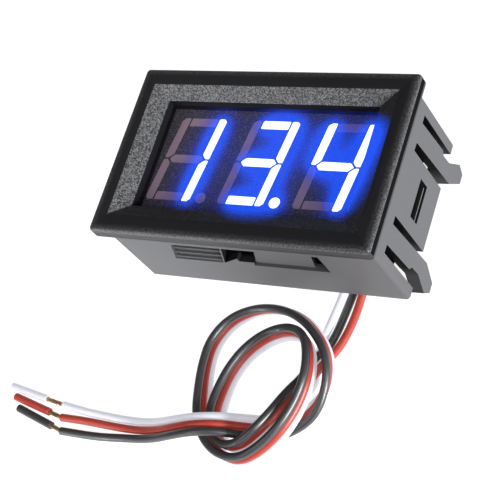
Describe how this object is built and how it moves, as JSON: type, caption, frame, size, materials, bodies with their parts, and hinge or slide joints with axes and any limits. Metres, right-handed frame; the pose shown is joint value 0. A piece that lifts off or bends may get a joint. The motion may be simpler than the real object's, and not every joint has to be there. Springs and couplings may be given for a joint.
{
  "type": "digital panel meter",
  "caption": "Snap-in digital panel meter with a glowing segment display, a moulded housing with snap arms, a circuit board and a coiled wire lead.",
  "frame": {"origin": "centre of the housing's footprint, on the level of the tips of the snap arms that the meter lies on", "axes": "+X along the row of digits to the reader's right, +Y to the top of the digits, +Z out of the display"},
  "size_m": [0.0692, 0.056, 0.022],
  "materials": {
    "housing_plastic": "satin black moulded ABS",
    "smoked_window": "smoked clear acrylic",
    "display_plastic": "dark moulded display body",
    "lit_segments": "diffusing resin, lit white with a blue glow",
    "dark_segments": "diffusing resin, unlit",
    "tinned_metal": "tin plating",
    "solder": "smooth solder",
    "board_laminate": "glass and epoxy laminate with a pale coating",
    "chip_moulding": "black moulding compound",
    "capacitor_ceramic": "tan ceramic",
    "trimmer_plastic": "off-white moulding",
    "rotor_brass": "bright brass",
    "white_insulation": "white flexible PVC",
    "red_insulation": "red flexible PVC",
    "black_insulation": "black flexible PVC",
    "copper_strands": "bare copper strands"
  },
  "bodies": {
    "meter": {"housing": "housing_plastic", "display_window": "smoked_window", "display_body": "display_plastic", "tens_lit_segments": "lit_segments", "units_lit_segments": "lit_segments", "tenths_lit_segments": "lit_segments", "lit_decimal_point": "lit_segments", "tens_dark_segments": "dark_segments", "units_dark_segments": "dark_segments", "tenths_dark_segments": "dark_segments", "dark_decimal_points": "dark_segments", "display_pins": "tinned_metal", "pin_solder_joints": "solder", "circuit_board": "board_laminate", "controller_body": "chip_moulding", "controller_leads": "tinned_metal", "regulator_body": "chip_moulding", "regulator_leads": "tinned_metal", "diode_body": "chip_moulding", "diode_terminals": "tinned_metal", "resistor_bodies": "chip_moulding", "resistor_caps": "tinned_metal", "capacitor_bodies": "capacitor_ceramic", "capacitor_caps": "tinned_metal", "trimmer_base": "trimmer_plastic", "trimmer_terminals": "tinned_metal", "wire_solder_joints": "solder", "white_wire": "white_insulation", "red_wire": "red_insulation", "black_wire": "black_insulation", "white_core": "copper_strands", "red_core": "copper_strands", "black_core": "copper_strands", "white_sleeve": "black_insulation", "red_sleeve": "black_insulation", "black_sleeve": "black_insulation"},
    "trimmer_rotor": {"trimmer_rotor": "rotor_brass"}
  },
  "joints": [
    {"name": "trimmer_turn", "type": "hinge", "parent": "meter", "child": "trimmer_rotor", "pos_m": [0.0146, 0.0052, 0.0063], "axis": [0, 0, 1], "range_deg": [-130, 130]}
  ]
}
